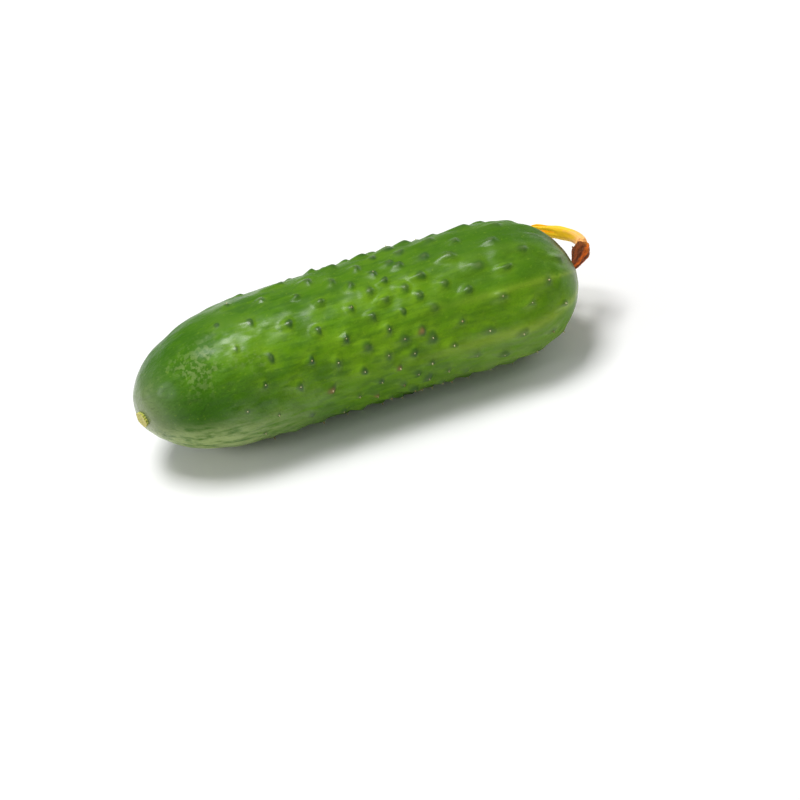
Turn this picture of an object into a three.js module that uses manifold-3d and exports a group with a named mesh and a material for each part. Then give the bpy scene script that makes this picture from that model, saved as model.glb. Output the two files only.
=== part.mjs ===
// A short warty cucumber as picked, lying on its side, with the stump of its stalk and its withered flower.
// Millimetres, +Z up, +X along the fruit towards the flower.
// The origin is on the surface that the fruit lies on, under its middle.

import * as THREE from "three";
import { mergeVertices } from "three/addons/utils/BufferGeometryUtils.js";
import Module from "manifold-3d";

const wasm = await Module();
wasm.setup();

// Driving dimensions of the fruit
const LENGTH = 115.5;
const RADIUS = 18;
const STEM_CAP = 31; // length of the long rounded end, at the stalk
const FLOWER_CAP = 21; // length of the blunt rounded end, at the flower
const BOW = 2.5; // how far both ends swing to -Y from the middle
const FLAT = 0.35; // how far the belly is pressed flat where it lies
const RIDGES = 10;
const RIDGE_TURN = THREE.MathUtils.degToRad(22); // side of the first ridge, from straight up towards +Y
const RIDGE_HEIGHT = 0.22; // at the flower end, fading towards the stalk
const CARPELS = 3;
const CARPEL_SWELL = 0.3; // faint swelling over each of the seed chambers
const FRUIT_SIDES = 40;
const FRUIT_RINGS = 36;

// Warts: a golden-angle spiral, closest together in the middle of the fruit
const WARTS = 205;
const WART_SIDES = 5;
const WART_FROM = 0.2; // share of the length where the first one stands
const WART_TO = 0.95;
const WART_CROWDING = 0.55; // 0 is even, 1 leaves the two ends bare
const WART_RADIUS = 2;
const WART_HEIGHT = 0.95;
const WART_LEAN = 0.35; // how far the tops are shifted towards the flower, in wart radii
const WART_WIDTHS = [0.75, 1.15]; // thinnest and thickest, in wart radii
const WART_HEIGHTS = [0.7, 1.2]; // lowest and highest, in wart heights
const WART_YOUNG = 0.6; // radius of one that has not grown, as a share of its full radius
const WART_FULL = 0.4; // share of the length from which they are full grown
const WART_FADE = 0.75; // share of the length from which they get lower again
const WART_LOWER = 0.45; // how much lower the last ones are
const WART_STRETCH = 1.5; // how far the last ones are drawn out along the fruit
const WART_STRAY = 2.2; // range of the random shift of a wart along and round the fruit
const GOLDEN_ANGLE = Math.PI * (3 - Math.sqrt(5));

// Stalk stump and flower, each rooted in a shallow socket a little off the middle of its end of the fruit
const GAP = 0.3;
const SOCKET_DEPTH = 1.2;
const FLOWER_OFF = 1.6;
const FLOWER_TURN = THREE.MathUtils.degToRad(40); // the side it sits off to, from straight up towards +Y
const STUB_OFF = 4.5;
const STUB_TURN = THREE.MathUtils.degToRad(-85);
const STUB_RADIUS = 2.3;
const STUB_LENGTH = 0.35; // what stands out of the fruit
const STUB_RIBS = 5;
const STUB_RIB_DEPTH = 0.1; // in stub radii
const STUB_SIDES = 20;
const ROOT_RADIUS = 1.3; // the flower's narrow foot
const FLOWER_FOLD = THREE.MathUtils.degToRad(78); // the side it is folded to, from straight up towards +Y
// The flower's middle line: how far out past the end of the fruit, and how far to the folded side
const FLOWER_LINE = [
  [-0.9, 0], [0.6, 0], [2.7, 1.8], [4.6, 4], [5.2, 6],
  [4.3, 8.4], [2.1, 10.9], [-0.4, 13], [-3, 14.5], [-6.5, 15.4],
];
const BASE_END = 0.3; // share of the line where the brown base ends
const PETAL_START = 0.32; // share of the line where the petals start
const BASE_RIB = 0.1; // height of the rib below each sepal, in base radii
const BASE_SIDES = 15;
const SEPALS = 5;
const SEPAL_LENGTH = 2.2;
const SEPAL_RADIUS = 0.4;
const SEPAL_SUNK = 0.4; // length of a sepal's root inside the base
const SEPAL_ROOT = [0.25, 2]; // share of the line and distance from it
const SEPAL_TOWARDS = [0.35, 2.5];
const PETALS = 5;
const PETAL_THICKNESS = 0.7;
const PETAL_THROAT = 0.58; // share of the corolla that is grown together
const PETAL_ROUNDNESS = 0.8; // below 1 the lobes are blunt, above it they are pointed
const PETAL_UNEVEN = 0.12; // how much shorter the shortest lobes are
const PETAL_FLUTE = 0.1; // height of the fold down the middle of each petal, in corolla radii
const COROLLA_FOOT = new THREE.Vector2(1.6, 1.2); // half width and half thickness of the folded corolla
const COROLLA_MOUTH = new THREE.Vector2(1.85, 1);
const COROLLA_OPEN = 0.6; // share of the corolla by which it has the width of its mouth
const COROLLA_SIDES = 40;
const COROLLA_STEPS = 16;

const { lerp, smoothstep } = THREE.MathUtils;

// A fixed draw from 0 to 1 for each whole number.
function chance(number) {
  const drawn = Math.sin(number * 12.9898) * 43758.5453;
  return drawn - Math.floor(drawn);
}

// A closed geometry as a solid. Triangles that collapsed on the axis are dropped.
function solidOf(geometry) {
  geometry.deleteAttribute("normal");
  geometry.deleteAttribute("uv");
  const merged = mergeVertices(geometry, 1e-4);
  const corners = Array.from(merged.index.array);
  const triVerts = [];
  for (let i = 0; i < corners.length; i += 3) {
    const [a, b, c] = corners.slice(i, i + 3);
    if (a !== b && b !== c && c !== a) triVerts.push(a, b, c);
  }
  return new wasm.Manifold(
    new wasm.Mesh({
      numProp: 3,
      vertProperties: merged.attributes.position.array,
      triVerts: new Uint32Array(triVerts),
    }),
  );
}

// A named mesh of a solid, in one colour.
function meshOf(name, solid, color, roughness) {
  const { vertProperties, triVerts } = solid.getMesh();
  const geometry = new THREE.BufferGeometry();
  geometry.setAttribute("position", new THREE.BufferAttribute(vertProperties, 3));
  geometry.setIndex(new THREE.BufferAttribute(triVerts, 1));
  geometry.computeVertexNormals();
  const mesh = new THREE.Mesh(geometry, new THREE.MeshStandardMaterial({ color, roughness, metalness: 0 }));
  mesh.name = name;
  return mesh;
}

// A turned shape whose every point is then moved: place(radius, height, turn) says where to.
function turned(profile, sides, place) {
  const geometry = new THREE.LatheGeometry(profile, sides);
  const points = geometry.getAttribute("position");
  for (let i = 0; i < points.count; i++) {
    const turn = Math.atan2(points.getX(i), points.getZ(i));
    const moved = place(Math.hypot(points.getX(i), points.getZ(i)), points.getY(i), turn);
    points.setXYZ(i, moved.x, moved.y, moved.z);
  }
  return geometry;
}

// Radius of the plain fruit: a straight middle between two half ellipsoids.
function girth(x) {
  const fromStem = (LENGTH / 2 + x) / STEM_CAP;
  const fromFlower = (LENGTH / 2 - x) / FLOWER_CAP;
  const short = Math.max(1 - fromStem, 1 - fromFlower, 0);
  return RADIUS * Math.sqrt(Math.max(1 - short * short, 0));
}

// Point of the skin at x, turned by angle from straight up towards +Y: ridges, three swellings and the bow.
function skin(x, angle, radius = girth(x)) {
  const ripening = smoothstep(x, -LENGTH / 2, LENGTH / 2);
  const ridge = RIDGE_HEIGHT * ripening * Math.cos(RIDGES * (angle - RIDGE_TURN));
  const reach = radius * (1 + (ridge - CARPEL_SWELL * Math.cos(CARPELS * angle)) / RADIUS);
  const lift = RADIUS + CARPEL_SWELL - FLAT;
  return new THREE.Vector3(
    x,
    reach * Math.sin(angle) - BOW * (2 * x / LENGTH) ** 2,
    lift + reach * Math.cos(angle),
  );
}

// A place on the skin with its directions along the fruit, around it and straight out of it.
function placeOn(x, angle) {
  const step = 0.05;
  const along = skin(x + step, angle).sub(skin(x - step, angle)).normalize();
  const around = skin(x, angle + step).sub(skin(x, angle - step)).normalize();
  const out = new THREE.Vector3().crossVectors(along, around).normalize();
  return { foot: skin(x, angle), along, around, out };
}

// A place this far off the middle of an end.
function seat(cap, end, off, angle) {
  return placeOn(end * (LENGTH / 2 - cap * (1 - Math.sqrt(1 - (off / RADIUS) ** 2))), angle);
}

const stubSeat = seat(STEM_CAP, -1, STUB_OFF, STUB_TURN);
const flowerSeat = seat(FLOWER_CAP, 1, FLOWER_OFF, FLOWER_TURN);

// The smooth body of the fruit.
function fruitBody() {
  const outline = new THREE.Path();
  outline.absellipse(LENGTH / 2 - FLOWER_CAP, 0, FLOWER_CAP, RADIUS, 0, Math.PI / 2);
  outline.absellipse(STEM_CAP - LENGTH / 2, 0, STEM_CAP, RADIUS, Math.PI / 2, Math.PI);
  const points = outline.getSpacedPoints(FRUIT_RINGS);
  const profile = points.map(({ x, y }) => new THREE.Vector2(Math.max(y, 0), x));
  return solidOf(turned(profile, FRUIT_SIDES, (radius, height, turn) => skin(height, turn, radius)));
}

// One wart: a low dome with its root sunk in the skin, leaning to the flower and drawn out towards it.
function wart(number) {
  const share = (number + 0.5) / WARTS;
  const crowded = share + WART_CROWDING * Math.sin(2 * Math.PI * share) / (2 * Math.PI);
  const place = lerp(WART_FROM, WART_TO, crowded);
  const draw = [1, 2, 3, 4].map((n) => chance(4 * number + n));
  const x = (place - 0.5) * LENGTH + WART_STRAY * (draw[0] - 0.5);
  const angle = number * GOLDEN_ANGLE + WART_STRAY * (draw[1] - 0.5) / RADIUS;
  const fade = smoothstep(place, WART_FADE, WART_TO);
  const growth = smoothstep(place, WART_FROM / 2, WART_FULL) * (1 - WART_LOWER * fade);
  const radius = WART_RADIUS * lerp(...WART_WIDTHS, draw[2]) * lerp(WART_YOUNG, 1, growth);
  const height = WART_HEIGHT * lerp(...WART_HEIGHTS, draw[3]) * growth;
  const stretch = lerp(1, WART_STRETCH, smoothstep(place, (WART_FULL + WART_FADE) / 2, WART_TO));
  const { foot, along, around, out } = placeOn(x, angle);
  const shape = [[0, -0.5], [1, -0.5], [0.55, 0.65], [0, 1]];
  const profile = shape.map(([r, h]) => new THREE.Vector2(r, h));
  return solidOf(turned(profile, WART_SIDES, (r, h, turn) => foot.clone()
    .addScaledVector(along, (r * Math.cos(turn) + Math.max(h, 0) * WART_LEAN) * radius * stretch)
    .addScaledVector(around, r * Math.sin(turn) * radius)
    .addScaledVector(out, h * height)));
}

// A plain round hole in an end of the fruit, for a piece that is rooted there.
function socket({ foot, out }, radius) {
  const hole = new THREE.CylinderGeometry(radius + GAP, radius + GAP, 2 * SOCKET_DEPTH, 20);
  hole.applyQuaternion(new THREE.Quaternion().setFromUnitVectors(new THREE.Vector3(0, 1, 0), out));
  return solidOf(hole.translate(foot.x, foot.y, foot.z));
}

// The green fruit: body and warts in one, with the two sockets, cut off level where it lies.
function fruit() {
  const warts = Array.from({ length: WARTS }, (_, number) => wart(number));
  const floor = new THREE.BoxGeometry(2 * LENGTH, 4 * RADIUS, 2 * RADIUS).translate(0, 0, -RADIUS);
  return wasm.Manifold.union([fruitBody(), ...warts])
    .subtract(socket(stubSeat, STUB_RADIUS))
    .subtract(socket(flowerSeat, ROOT_RADIUS))
    .subtract(solidOf(floor));
}

// The stump of the stalk: five-ribbed, flared and hollowed where it parted from the vine.
function stemStub() {
  const { foot, along, around, out } = stubSeat;
  const profile = [
    [0, -1], [0.9, -1], [0.9, -0.2], [0.86, 0.4], [1, 0.86], [0.95, 1], [0.55, 0.75], [0, 0.6],
  ].map(([r, h]) => new THREE.Vector2(r * STUB_RADIUS, h < 0 ? h * (SOCKET_DEPTH - GAP) : h * STUB_LENGTH));
  return solidOf(turned(profile, STUB_SIDES, (radius, height, turn) => {
    const ribbed = radius * (1 - STUB_RIB_DEPTH * (1 - Math.cos(STUB_RIBS * turn)) / 2);
    return foot.clone()
      .addScaledVector(out, height)
      .addScaledVector(along, ribbed * Math.cos(turn))
      .addScaledVector(around, ribbed * Math.sin(turn));
  }));
}

// The flower's middle line, in the plane that it is folded in.
const foldSide = new THREE.Vector3(0, Math.sin(FLOWER_FOLD), Math.cos(FLOWER_FOLD));
const flowerSide = foldSide.clone().cross(flowerSeat.out).normalize();
const flowerAway = flowerSeat.out.clone().cross(flowerSide);
const flowerLine = new THREE.CatmullRomCurve3(FLOWER_LINE.map(([out, away]) => flowerSeat.foot.clone()
  .addScaledVector(flowerSeat.out, out)
  .addScaledVector(flowerAway, away)));

// A point beside the flower's middle line: across the plane that it is folded in, and off it in that plane.
function besideLine(share, across, off) {
  const tangent = flowerLine.getTangentAt(share);
  const outer = new THREE.Vector3().crossVectors(tangent, flowerSide);
  return flowerLine.getPointAt(share).addScaledVector(flowerSide, across).addScaledVector(outer, off);
}

// The dried floral tube, widening from its foot, with short thin sepals pressed forward round its rim.
function flowerBase() {
  const profile = [
    [0, 0], [0.8, 0], [0.85, 0.2], [1.1, 0.43], [1.5, 0.62], [1.7, 0.78], [1.6, 0.9], [1.3, 1], [0, 1],
  ].map(([r, reach]) => new THREE.Vector2(r * ROOT_RADIUS, reach * BASE_END));
  const tube = solidOf(turned(profile.reverse(), BASE_SIDES, (radius, share, turn) => {
    const ribbed = radius * (1 + BASE_RIB * Math.cos(SEPALS * turn));
    return besideLine(share, ribbed * Math.sin(turn), ribbed * Math.cos(turn));
  }));
  const sepals = Array.from({ length: SEPALS }, (_, number) => {
    const turn = 2 * Math.PI * number / SEPALS;
    const [root, tip] = [SEPAL_ROOT, SEPAL_TOWARDS].map(([share, reach]) => (
      besideLine(share, reach * Math.sin(turn), reach * Math.cos(turn))));
    const direction = tip.sub(root).normalize();
    const cone = new THREE.ConeGeometry(SEPAL_RADIUS, SEPAL_LENGTH, 5);
    cone.translate(0, SEPAL_LENGTH / 2 - SEPAL_SUNK, 0);
    cone.applyQuaternion(new THREE.Quaternion().setFromUnitVectors(new THREE.Vector3(0, 1, 0), direction));
    return solidOf(cone.translate(root.x, root.y, root.z));
  });
  return wasm.Manifold.union([tube, ...sepals]);
}

// Middle of the petal tissue, at a turn round the corolla and a reach from its foot (0) to its edge (1).
function petalMiddle(turn, reach) {
  const lobe = ((1 + Math.cos(PETALS * turn)) / 2) ** PETAL_ROUNDNESS;
  const uneven = 1 - PETAL_UNEVEN * (1 + Math.cos(2 * turn + 1)) / 2;
  const share = reach * lerp(PETAL_THROAT, 1, lobe) * uneven;
  const open = smoothstep(share, 0, COROLLA_OPEN);
  const fold = 1 + PETAL_FLUTE * Math.cos(PETALS * turn) * open;
  const across = lerp(COROLLA_FOOT.x, COROLLA_MOUTH.x, open) * fold * Math.sin(turn);
  const off = lerp(COROLLA_FOOT.y, COROLLA_MOUTH.y, open) * fold * Math.cos(turn);
  return besideLine(lerp(PETAL_START, 1, share), across, off);
}

// The withered corolla: a limp cup of tissue, grown together at its foot and parted into five lobes.
function corolla() {
  const wall = Array.from({ length: COROLLA_STEPS + 1 }, (_, i) => i / COROLLA_STEPS);
  const outer = wall.map((reach) => new THREE.Vector2(2, reach));
  const inner = wall.slice(2).map((reach) => new THREE.Vector2(1, reach)).reverse();
  const profile = [new THREE.Vector2(0, 0), ...outer, ...inner, new THREE.Vector2(0, wall[2])];
  const step = 0.01;
  return solidOf(turned(profile, COROLLA_SIDES, (radius, reach, turn) => {
    if (radius < 0.5) return besideLine(lerp(PETAL_START, 1, reach * PETAL_THROAT), 0, 0);
    const around = petalMiddle(turn + step, reach).sub(petalMiddle(turn - step, reach));
    const further = petalMiddle(turn, Math.min(reach + step, 1));
    const along = further.sub(petalMiddle(turn, Math.max(reach - step, 0)));
    const out = around.cross(along).normalize();
    return petalMiddle(turn, reach).addScaledVector(out, (radius - 1.5) * PETAL_THICKNESS);
  }));
}

const cucumber = new THREE.Group();
cucumber.add(
  meshOf("fruit", fruit(), 0x4f8a20, 0.38),
  meshOf("stem_stub", stemStub(), 0xb9b65a, 0.7),
  meshOf("flower_base", flowerBase(), 0x96481a, 0.75),
  meshOf("corolla", corolla(), 0xf0ae26, 0.65),
);

export default cucumber;
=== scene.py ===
"""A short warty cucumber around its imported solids: finished skin, spines, stalk stump and withered flower.

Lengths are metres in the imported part's frame: +X along the fruit towards the flower, +Z up, and the origin
on the surface that the fruit lies on. An angle round the fruit is measured from straight up towards +Y.
"""

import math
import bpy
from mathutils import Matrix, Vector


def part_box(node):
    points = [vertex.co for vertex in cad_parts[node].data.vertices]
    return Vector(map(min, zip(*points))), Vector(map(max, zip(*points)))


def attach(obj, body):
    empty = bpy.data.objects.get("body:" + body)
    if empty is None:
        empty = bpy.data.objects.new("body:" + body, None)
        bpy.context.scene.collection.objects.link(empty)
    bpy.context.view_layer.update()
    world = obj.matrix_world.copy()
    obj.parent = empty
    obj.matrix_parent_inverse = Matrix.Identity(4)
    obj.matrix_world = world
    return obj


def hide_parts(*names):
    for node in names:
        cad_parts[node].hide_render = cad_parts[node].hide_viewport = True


bl_info = {
    "name": "Cucumber",
    "version": (1, 0, 0),
    "blender": (4, 5, 0),
    "location": "View3D > Sidebar > Cucumber",
    "description": "Builds the finished surfaces of a short warty cucumber around its packed solids",
    "category": "Object",
}

from types import SimpleNamespace

import bpy
import numpy as np
from mathutils import Matrix, Vector

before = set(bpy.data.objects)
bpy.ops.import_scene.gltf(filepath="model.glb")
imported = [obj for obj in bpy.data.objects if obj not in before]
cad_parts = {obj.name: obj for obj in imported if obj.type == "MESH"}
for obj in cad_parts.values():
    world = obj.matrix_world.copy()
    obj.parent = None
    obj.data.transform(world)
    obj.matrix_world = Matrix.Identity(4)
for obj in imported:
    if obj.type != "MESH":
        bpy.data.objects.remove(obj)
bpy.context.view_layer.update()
FRUIT_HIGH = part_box("fruit")[1]

MM = 0.001
FULL_TURN = 2 * math.pi
GOLDEN_ANGLE = math.pi * (3 - math.sqrt(5))


# Settings that show in the sidebar

def scalar(name, value, description, **kind):
    """A number of this kind in the sidebar."""
    return bpy.props.FloatProperty(name=name, description=description, default=value, **kind)


def mm(name, value, description):
    """A length, with its default given in millimetres."""
    return scalar(name, value * MM, description, unit="LENGTH", precision=5)


def degrees(name, value, description):
    """An angle, with its default given in degrees."""
    return scalar(name, math.radians(value), description, unit="ROTATION")


def part(name, value, description):
    """A part of a whole."""
    return scalar(name, value, description, subtype="FACTOR")


def watts(name, value, description):
    """A lamp's power."""
    return scalar(name, value, description, unit="POWER")


def whole(name, value, description):
    """A whole number."""
    return bpy.props.IntProperty(name=name, description=description, default=value, min=1)


def rgb(name, red, green, blue, description):
    """A linear colour."""
    return bpy.props.FloatVectorProperty(
        name=name, description=description, default=(red, green, blue, 1), size=4, subtype="COLOR",
        min=0, max=1)


class CucumberFruit(bpy.types.PropertyGroup):
    """Sizes and colours of the fruit, its warts and its stalk stump."""

    length: mm("Length", 2 * FRUIT_HIGH[0] / MM, "From end to end, without stalk and flower")
    radius: mm("Radius", 18, "Half the thickness of the straight middle")
    stem_cap: mm("Stalk end", 31, "Length of the long rounded end")
    flower_cap: mm("Flower end", 21, "Length of the blunt rounded end")
    bow: mm("Bow", 2.5, "How far both ends swing to -Y")
    flat: mm("Flat", 0.35, "How far the belly is pressed flat")
    ridges: whole("Ridges", 10, "Lengthwise ridges, each with a pale stripe")
    ridge_turn: degrees("Ridge side", 22, "Side of the first ridge")
    ridge_height: mm("Ridge height", 0.22, "Height of a ridge at the flower end")
    carpel_swell: mm("Swelling", 0.3, "Height of the three swellings")
    warts: whole("Warts", 205, "Warts on the whole fruit")
    wart_from: part("First wart", 0.2, "Share of the length where the warts start")
    wart_to: part("Last wart", 0.95, "Share of the length where the warts end")
    wart_crowding: part("Crowding", 0.55, "How much closer the warts stand in the middle")
    wart_radius: mm("Wart radius", 2.2, "Radius of a middling wart at its root")
    wart_height: mm("Wart height", 0.8, "Height of a middling wart")
    wart_lean: part("Wart lean", 0.42, "Shift of a wart's top towards the flower, in wart radii")
    wart_full: part("Full warts", 0.4, "Share of the length where they are full grown")
    wart_fade: part("Fading warts", 0.75, "Share of the length where they get lower again")
    wart_stray: mm("Wart stray", 2.2, "Range of the random shift of a wart")
    stub_off: mm("Stalk offset", 4.5, "How far it sits off the middle of its end")
    stub_turn: degrees("Stalk side", -85, "Side that it sits off to")
    stub_radius: mm("Stalk radius", 2.3, "Radius of the stump")
    stub_length: mm("Stalk length", 0.35, "How far the stump stands out")
    green: rgb("Green", 0.105, 0.26, 0.005, "Skin in the middle of the fruit")
    # Also the colour of painted shade on the far side, the lower side and the top towards the flower.
    deep_green_and_shade: rgb("Deep green", 0.034, 0.118, 0.006, "Skin at the stalk end and dark mottling")
    # Lighter skin round the warts, partly painted highlight on their lit stalk sides.
    light_green_and_highlight: rgb("Light green", 0.18, 0.35, 0.01, "Lighter skin round the warts")
    stripe: rgb("Stripe", 0.27, 0.42, 0.03, "Pale stripes and flecks")
    # Darker wart tops, and painted shade on the flower side of each wart.
    wart_green_and_shade: rgb("Wart green", 0.018, 0.075, 0.01, "Tops of the warts")
    # Colour of the painted reflection of the floor on the belly, and of the painted highlight flecks.
    belly: rgb("Belly", 0.36, 0.46, 0.17, "Pale belly, and specks at the stalk end")
    spine: rgb("Spine", 0.56, 0.52, 0.27, "Fresh spines on the warts")
    rust: rgb("Rust", 0.3, 0.16, 0.045, "Corky marks where a spine has broken off")
    bloom: rgb("Bloom", 0.33, 0.35, 0.2, "Pale waxy bloom at both ends")
    # Browned skin, and painted shadow of the folded flower.
    scar: rgb("Scar", 0.06, 0.042, 0.003, "Browned skin under the flower")
    stub_green: rgb("Stalk green", 0.56, 0.56, 0.11, "Side of the stump")
    stub_pith: rgb("Stalk pith", 0.64, 0.6, 0.2, "Torn face of the stump")


class CucumberFlower(bpy.types.PropertyGroup):
    """Sizes and colours of the withered flower."""

    offset: mm("Offset", 1.6, "How far it sits off the middle of its end")
    turn: degrees("Side", 40, "Side that it sits off to")
    fold: degrees("Fold", 78, "Side that it is folded to")
    foot_radius: mm("Foot radius", 1.3, "Radius of the brown base at its foot")
    base_end: part("Base end", 0.3, "Share of the middle line where the brown base ends")
    hairs: whole("Hairs", 90, "Fine stiff hairs on the brown base")
    sepals: whole("Sepals", 5, "Thin sepals on the rim of the base")
    sepal_length: mm("Sepal length", 1.7, "Length of a sepal")
    petals: whole("Petals", 5, "Lobes of the corolla")
    petal_start: part("Petal start", 0.29, "Share of the middle line where the petals start")
    petal_thickness: mm("Petal thickness", 0.4, "Thickness of the petal tissue")
    throat: part("Throat", 0.58, "Share of the corolla that is grown together")
    foot_width: mm("Foot width", 1.7, "Half width of the corolla's foot")
    foot_depth: mm("Foot depth", 1.3, "Half thickness of the corolla's foot")
    mouth_width: mm("Mouth width", 1.85, "Half width of the corolla's mouth")
    mouth_depth: mm("Mouth depth", 1, "Half thickness of the corolla's mouth")
    yellow: rgb("Yellow", 0.8, 0.5, 0.01, "Lobes of the petals")
    orange: rgb("Orange", 0.7, 0.26, 0.012, "Veins and drying edges of the petals")
    pale: rgb("Pale", 0.83, 0.44, 0.14, "Bleached tissue at the foot of the petals")
    brown: rgb("Brown", 0.8, 0.15, 0.008, "Dried base of the flower")
    # Also painted shade on the inner side of the base's curl.
    dark_brown: rgb("Dark brown", 0.11, 0.026, 0.006, "Creases of the dried base")


class CucumberStage(bpy.types.PropertyGroup):
    """Camera, floor and studio light."""

    azimuth: degrees("Azimuth", -9, "Camera's turn round the fruit; 0 looks along +Y")
    elevation: degrees("Elevation", 41.5, "Camera's height above the horizon")
    roll: degrees("Roll", 11.8, "Camera's turn about its own line of sight")
    distance: mm("Distance", 556, "From the camera to the fruit")
    lens: scalar("Lens", 100, "Focal length", unit="CAMERA")
    aim_right: mm("Aim right", 11.3, "How far it aims right of the fruit's middle")
    aim_down: mm("Aim down", 16.45, "How far it aims below the fruit's middle")
    floor: rgb("Floor", 0.9, 0.9, 0.9, "Plain floor")
    sky: scalar("Sky", 0.3, "Brightness of the white surroundings", subtype="FACTOR")
    key: watts("Key", 6.8, "Soft light overhead")
    side: watts("Side", 1.6, "Soft light beside the stalk")
    rim: watts("Rim", 1.0, "Soft light behind the flower")


# Shapes: small tools

def smooth(low, high, value):
    """0 at low, 1 at high and the S-shaped cubic 3s^2 - 2s^3 between them; low may be the greater."""
    share = np.clip((value - low) / (high - low), 0, 1)
    return share * share * (3 - 2 * share)


def bell(distance, width):
    """1 in the middle, falling away as exp(-(distance / width)^2)."""
    return np.exp(-(distance / width)**2)


def mix(first, second, share):
    """The value that lies this share of the way from the first to the second."""
    return first + (second - first) * share


def chance(number):
    """A fixed draw from 0 to 1 for each whole number: the fraction of a large multiple of its sine.

    Each use adds a number of its own, so that the draws differ.
    """
    return np.sin(number * 12.9898) * 43758.5453 % 1


def unit(vectors):
    """Vectors of the same directions and length 1."""
    return vectors / np.linalg.norm(vectors, axis=-1, keepdims=True)


def turns(count):
    """Evenly spaced angles that go once round."""
    return np.linspace(0, FULL_TURN, count, endpoint=False)


def ripple(points, wavelength, first, waves=12):
    """Unevenness of about -1 to 1: a sum of plane waves of about this length in scattered directions."""
    number = first + np.arange(waves)
    heading = unit(np.stack([chance(number + 50 * axis) - 0.5 for axis in (1, 2, 3)], axis=-1))
    pitch = wavelength * mix(0.7, 1.3, chance(number + 200))
    phase = FULL_TURN * chance(number + 250)
    return np.sin(FULL_TURN * (points @ heading.T) / pitch + phase).sum(axis=-1) * math.sqrt(2 / waves) / 2


def through(corners, count, steps=60):
    """Evenly spaced points on the smooth curve through these corners: a centripetal Catmull-Rom spline.

    Each span is a cubic whose end slopes weigh the neighbouring spans by the square roots of their lengths.
    """
    corners = np.asarray(corners, dtype=float)
    padded = np.vstack([2 * corners[0] - corners[1], corners, 2 * corners[-1] - corners[-2]])
    knot = np.sqrt(np.linalg.norm(np.diff(padded, axis=0), axis=1))[:, None]
    slope = np.diff(padded, axis=0) / knot
    wide = (padded[2:] - padded[:-2]) / (knot[:-1] + knot[1:])
    tangent = slope[:-1] - wide + slope[1:]
    span = knot[1:-1]
    t = np.linspace(0, 1, steps, endpoint=False)[None, :, None]
    start, end = corners[:-1, None], corners[1:, None]
    leave, arrive = (tangent[:-1] * span)[:, None], (tangent[1:] * span)[:, None]
    dense = (start * (1 - 3 * t**2 + 2 * t**3) + end * (3 * t**2 - 2 * t**3)
             + leave * (t - 2 * t**2 + t**3) + arrive * (t**3 - t**2)).reshape(-1, corners.shape[1])
    dense = np.vstack([dense, corners[-1]])
    run = np.concatenate([[0], np.cumsum(np.linalg.norm(np.diff(dense, axis=0), axis=1))])
    even = np.linspace(0, run[-1], count)
    return np.stack([np.interp(even, run, dense[:, axis]) for axis in range(corners.shape[1])], axis=-1)


def sealed_faces(rows, columns):
    """Faces of a tube of rows by columns of points, closed at its ends onto the two points that follow."""
    here = np.arange(rows * columns).reshape(rows, columns)
    beside = np.roll(here, -1, axis=1)
    walls = np.stack([here[:-1], here[1:], beside[1:], beside[:-1]], axis=-1).reshape(-1, 4)
    first = np.full(columns, rows * columns)
    start = np.stack([here[0], beside[0], first], axis=-1)
    end = np.stack([beside[-1], here[-1], first + 1], axis=-1)
    return walls, np.concatenate([start, end])


def new_mesh(name, points, walls, fans, marks):
    """A smooth mesh of these faces, turned outwards, with the marks as attributes of its points."""
    a, b, c, d = (points[walls[:, corner]] for corner in range(4))
    volume = np.einsum("ij,ij->", a, np.cross(b, c) + np.cross(c, d))
    order = slice(None, None, -1 if volume < 0 else 1)
    mesh = bpy.data.meshes.new(name)
    mesh.from_pydata(points.tolist(), [], walls[:, order].tolist() + fans[:, order].tolist())
    mesh.polygons.foreach_set("use_smooth", np.ones(len(mesh.polygons), dtype=bool))
    for mark, values in marks.items():
        mesh.attributes.new(mark, "FLOAT", "POINT").data.foreach_set("value", values.astype(np.float32))
    mesh.update()
    return mesh


def sealed_mesh(name, points, marks):
    """A mesh of a tube given as rows of points, closed at each end onto the mean of its last row."""
    rows, columns, _ = points.shape
    ends = points[[0, -1]].mean(axis=1)
    flat_marks = {}
    for mark, values in marks.items():
        spread = np.broadcast_to(values, (rows, columns))
        flat_marks[mark] = np.concatenate([spread.ravel(), spread[[0, -1]].mean(axis=1)])
    walls, fans = sealed_faces(rows, columns)
    return new_mesh(name, np.vstack([points.reshape(-1, 3), ends]), walls, fans, flat_marks)


def spike_mesh(name, feet, headings, lengths, radii, sides, rows, marks):
    """A mesh of small round horns: circles along a line, narrowing with the root of what is left."""
    count = len(feet)
    last_circle = 0.94
    step = np.linspace(0, last_circle, rows)[None, :, None, None]
    turn = turns(sides)[None, None, :, None]
    helper = np.where(np.abs(headings[:, 2:]) < 0.9, [[0.0, 0, 1]], [[1.0, 0, 0]])
    across = unit(np.cross(headings, helper))[:, None, None]
    beside = unit(np.cross(headings, across[:, 0, 0]))[:, None, None]
    line = feet[:, None, None] + (lengths[:, None] * headings)[:, None, None] * step
    circle = across * np.cos(turn) + beside * np.sin(turn)
    rings = line + circle * radii[:, None, None, None] * np.sqrt(1 - step)
    tips = feet + lengths[:, None] * headings
    points = np.concatenate([rings.reshape(count, -1, 3), feet[:, None], tips[:, None]], axis=1)
    each = points.shape[1]
    shift = (np.arange(count) * each)[:, None, None]
    walls, fans = sealed_faces(rows, sides)
    walls = (walls + shift).reshape(-1, 4)
    fans = (fans + shift).reshape(-1, 3)
    flat_marks = {mark: np.repeat(values, each) for mark, values in marks.items()}
    return new_mesh(name, points.reshape(-1, 3), walls, fans, flat_marks)


def put(name, mesh, finish, slot, *nodes):
    """Places a mesh as a piece, with its finish and the nodes that it stands for; the slot is not used."""
    piece = bpy.data.objects.new(name, mesh)
    bpy.context.scene.collection.objects.link(piece)
    mesh.materials.append(finish.material)
    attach(piece, "root")
    if nodes:
        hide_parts(*nodes)


# Shapes: the fruit

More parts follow.
